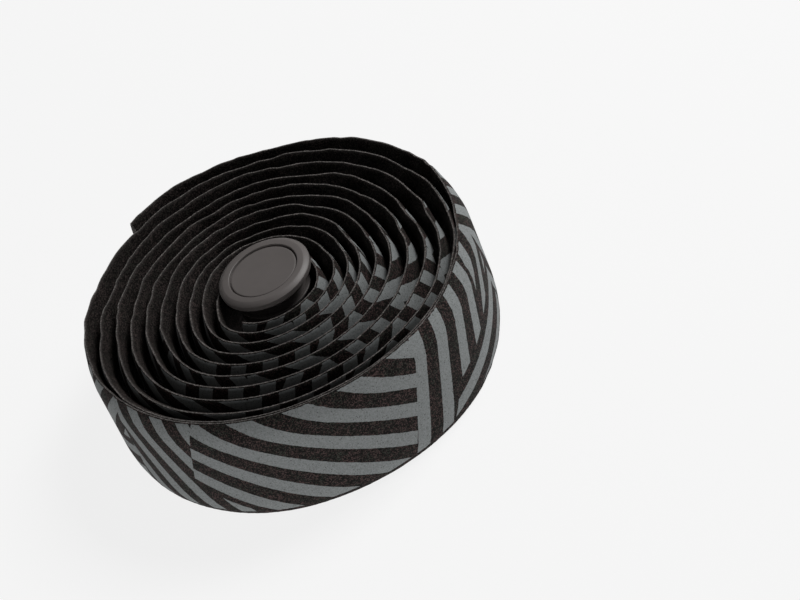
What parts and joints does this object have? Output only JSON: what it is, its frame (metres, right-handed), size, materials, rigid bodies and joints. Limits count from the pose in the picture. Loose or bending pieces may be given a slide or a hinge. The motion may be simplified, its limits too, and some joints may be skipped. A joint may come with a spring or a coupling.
{
  "type": "roll of handlebar tape",
  "caption": "Bevel-edged foam handlebar tape wound loosely into a flat roll, with a push-in bar-end plug seated in its core.",
  "frame": {"origin": "centre of the roll's footprint, on the surface that it stands on", "axes": "+Z along the winding's axis, up out of the core towards the plug's cap; +X to the right and +Y away as the front is seen"},
  "size_m": [0.1002, 0.1024, 0.0327],
  "materials": {
    "tape": "matte foam, dark brown-black, with grey printed stripes on the outer face",
    "plug": "satin moulded grey-black"
  },
  "bodies": {
    "root": {"tape_roll": "tape", "end_plug": "plug"}
  },
  "joints": []
}
